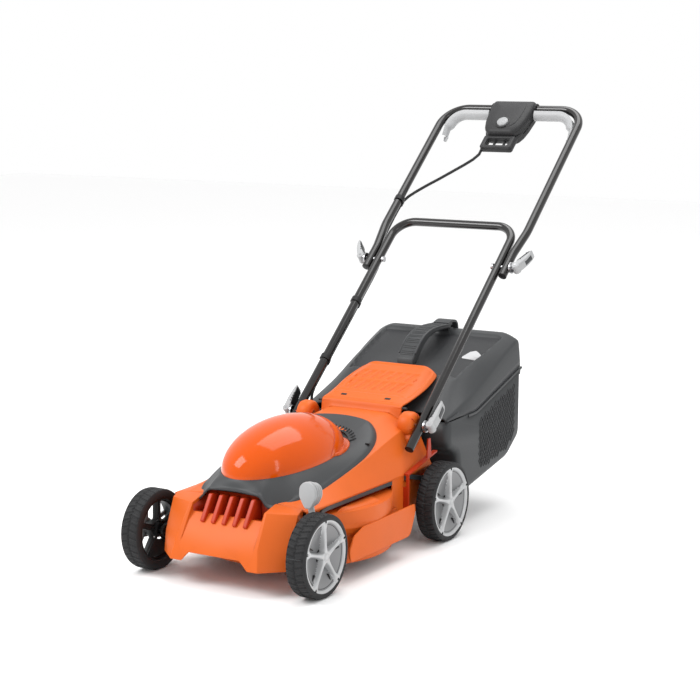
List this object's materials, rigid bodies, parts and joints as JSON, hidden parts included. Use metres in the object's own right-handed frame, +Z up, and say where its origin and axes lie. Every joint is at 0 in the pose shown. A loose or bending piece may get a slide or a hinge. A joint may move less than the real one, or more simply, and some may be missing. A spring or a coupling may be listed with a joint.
{
  "type": "walk-behind rotary lawn mower",
  "caption": "Wheeled electric rotary lawn mower with domed motor cover, folding tube handle, height lever, rear flap and detachable grass box.",
  "frame": {"origin": "on the ground, at the centre of the overall length and width", "axes": "+Z up, +X across the mower, -Y towards its front; the handle rises towards +Y"},
  "size_m": [0.4638, 1.3448, 0.9301],
  "materials": {
    "body_orange": "semi-gloss moulded plastic",
    "dome_orange": "polished moulded plastic",
    "trim_red": "satin moulded plastic",
    "slate_plastic": "fine-textured moulded plastic",
    "black_plastic": "satin moulded plastic",
    "wheel_black": "moulded tread",
    "silver_plastic": "metallic-finish moulded plastic",
    "pale_plastic": "satin moulded plastic",
    "tube_paint": "gloss powder coat",
    "plain_steel": "bright zinc",
    "blade_steel": "coated blade steel",
    "motor_metal": "cast and pressed",
    "cable_black": "round flexible cable",
    "label_grey": "printed film, blank"
  },
  "bodies": {
    "deck": {"lower_deck": "body_orange", "discharge_chute": "slate_plastic", "deck_shell": "body_orange", "front_fascia": "body_orange", "vent_fins": "trim_red", "motor_shroud": "slate_plastic", "motor_dome": "dome_orange", "motor_can": "motor_metal", "capacitor": "black_plastic", "side_skirts": "body_orange", "wheel_arches": "trim_red", "handle_knuckles": "body_orange", "axle_bushes": "black_plastic", "flap_pin": "plain_steel", "deck_screws": "plain_steel", "cable_gland": "black_plastic", "flap_springs": "plain_steel"},
    "rotor": {"motor_shaft": "plain_steel", "motor_rotor": "motor_metal", "blade_carrier": "black_plastic", "blade": "blade_steel", "blade_bolt": "plain_steel"},
    "crank_front_right": {"front_crank_right": "tube_paint", "height_lever": "pale_plastic"},
    "crank_front_left": {"front_crank_left": "tube_paint"},
    "crank_rear": {"rear_axle": "tube_paint"},
    "link_right": {"link_rod_right": "slate_plastic"},
    "link_left": {"link_rod_left": "slate_plastic"},
    "wheel_front_right": {"tyre_front_right": "wheel_black", "rim_front_right": "wheel_black", "cap_front_right": "silver_plastic"},
    "wheel_front_left": {"tyre_front_left": "wheel_black", "rim_front_left": "wheel_black", "cap_front_left": "silver_plastic"},
    "wheel_rear_right": {"tyre_rear_right": "wheel_black", "rim_rear_right": "wheel_black", "cap_rear_right": "silver_plastic"},
    "wheel_rear_left": {"tyre_rear_left": "wheel_black", "rim_rear_left": "wheel_black", "cap_rear_left": "silver_plastic"},
    "lower_handle": {"lower_tube": "tube_paint", "pivot_bolts": "plain_steel", "joint_bolts": "plain_steel", "lower_cable": "cable_black"},
    "cam_lower_right": {"lower_clamp_right": "pale_plastic"},
    "cam_lower_left": {"lower_clamp_left": "pale_plastic"},
    "cam_upper_right": {"upper_clamp_right": "pale_plastic"},
    "cam_upper_left": {"upper_clamp_left": "pale_plastic"},
    "upper_handle": {"upper_tube": "tube_paint", "switch_cover": "slate_plastic", "switch_base": "slate_plastic", "micro_switch": "black_plastic", "upper_cable": "cable_black"},
    "bail": {"bail_bar": "silver_plastic"},
    "button": {"lock_button": "pale_plastic"},
    "flap": {"rear_flap": "body_orange"},
    "grass_box": {"box_bin": "slate_plastic", "box_lid": "slate_plastic", "box_handle": "slate_plastic", "box_label": "label_grey"}
  },
  "joints": [
    {"name": "blade_spin", "type": "hinge", "parent": "deck", "child": "rotor", "pos_m": [0, -0.35743, 0.06], "axis": [0, 0, 1], "continuous": true},
    {"name": "height_adjust", "type": "hinge", "parent": "deck", "child": "crank_front_right", "pos_m": [0, -0.54343, 0.085], "axis": [1, 0, 0], "range_deg": [-26, 26]},
    {"name": "height_front_left", "type": "hinge", "parent": "deck", "child": "crank_front_left", "pos_m": [0, -0.54343, 0.085], "axis": [1, 0, 0], "range_deg": [-26, 26]},
    {"name": "height_rear", "type": "hinge", "parent": "deck", "child": "crank_rear", "pos_m": [0, -0.04343, 0.088], "axis": [1, 0, 0], "range_deg": [-26, 26]},
    {"name": "link_right_pivot", "type": "hinge", "parent": "crank_front_right", "child": "link_right", "pos_m": [0.158, -0.52943, 0.113], "axis": [1, 0, 0], "range_deg": [-26, 26]},
    {"name": "link_left_pivot", "type": "hinge", "parent": "crank_front_left", "child": "link_left", "pos_m": [-0.158, -0.52943, 0.113], "axis": [1, 0, 0], "range_deg": [-26, 26]},
    {"name": "wheel_front_right_spin", "type": "hinge", "parent": "crank_front_right", "child": "wheel_front_right", "pos_m": [0.197, -0.58943, 0.083], "axis": [1, 0, 0], "continuous": true},
    {"name": "wheel_front_left_spin", "type": "hinge", "parent": "crank_front_left", "child": "wheel_front_left", "pos_m": [-0.197, -0.58943, 0.083], "axis": [1, 0, 0], "continuous": true},
    {"name": "wheel_rear_right_spin", "type": "hinge", "parent": "crank_rear", "child": "wheel_rear_right", "pos_m": [0.201, -0.08943, 0.086], "axis": [1, 0, 0], "continuous": true},
    {"name": "wheel_rear_left_spin", "type": "hinge", "parent": "crank_rear", "child": "wheel_rear_left", "pos_m": [-0.201, -0.08943, 0.086], "axis": [1, 0, 0], "continuous": true},
    {"name": "handle_fold", "type": "hinge", "parent": "deck", "child": "lower_handle", "pos_m": [0, -0.11143, 0.25], "axis": [1, 0, 0], "range_deg": [0, 135]},
    {"name": "upper_fold", "type": "hinge", "parent": "lower_handle", "child": "upper_handle", "pos_m": [0, 0.24641, 0.55779], "axis": [1, 0, 0], "range_deg": [-95, 0]},
    {"name": "lower_cam_right", "type": "hinge", "parent": "lower_handle", "child": "cam_lower_right", "pos_m": [0.1828, -0.11143, 0.25], "axis": [0, 0.6521, -0.7581], "range_deg": [0, 90]},
    {"name": "lower_cam_left", "type": "hinge", "parent": "lower_handle", "child": "cam_lower_left", "pos_m": [-0.1828, -0.11143, 0.25], "axis": [0, -0.6521, 0.7581], "range_deg": [0, 90]},
    {"name": "upper_cam_right", "type": "hinge", "parent": "lower_handle", "child": "cam_upper_right", "pos_m": [0.2048, 0.24641, 0.55779], "axis": [0, 0.6521, -0.7581], "range_deg": [0, 66]},
    {"name": "upper_cam_left", "type": "hinge", "parent": "lower_handle", "child": "cam_upper_left", "pos_m": [-0.2048, 0.24641, 0.55779], "axis": [0, -0.6521, 0.7581], "range_deg": [0, 66]},
    {"name": "bail_squeeze", "type": "hinge", "parent": "upper_handle", "child": "bail", "pos_m": [0, 0.63685, 0.89362], "axis": [-1, 0, 0], "range_deg": [0, 17], "stiffness_Nm_per_rad": 0.6, "springref_deg": -20.05},
    {"name": "lock_press", "type": "slide", "parent": "upper_handle", "child": "button", "axis": [0, 0.6521, -0.7581], "range_m": [0, 0.004], "stiffness_N_per_m": 300, "springref_m": -0.001},
    {"name": "flap_lift", "type": "hinge", "parent": "deck", "child": "flap", "pos_m": [0, -0.09143, 0.279], "axis": [1, 0, 0], "range_deg": [0, 60], "stiffness_Nm_per_rad": 0.2, "springref_deg": -34.38},
    {"name": "grass_box_slide", "type": "slide", "parent": "deck", "child": "grass_box", "axis": [0, 1, 0], "range_m": [0, 0.45]}
  ],
  "couplings": [
    {"joint": "height_front_left", "follows": "height_adjust", "ratio": 1},
    {"joint": "height_rear", "follows": "height_adjust", "ratio": 1},
    {"joint": "link_right_pivot", "follows": "height_adjust", "ratio": -1},
    {"joint": "link_left_pivot", "follows": "height_adjust", "ratio": -1}
  ]
}
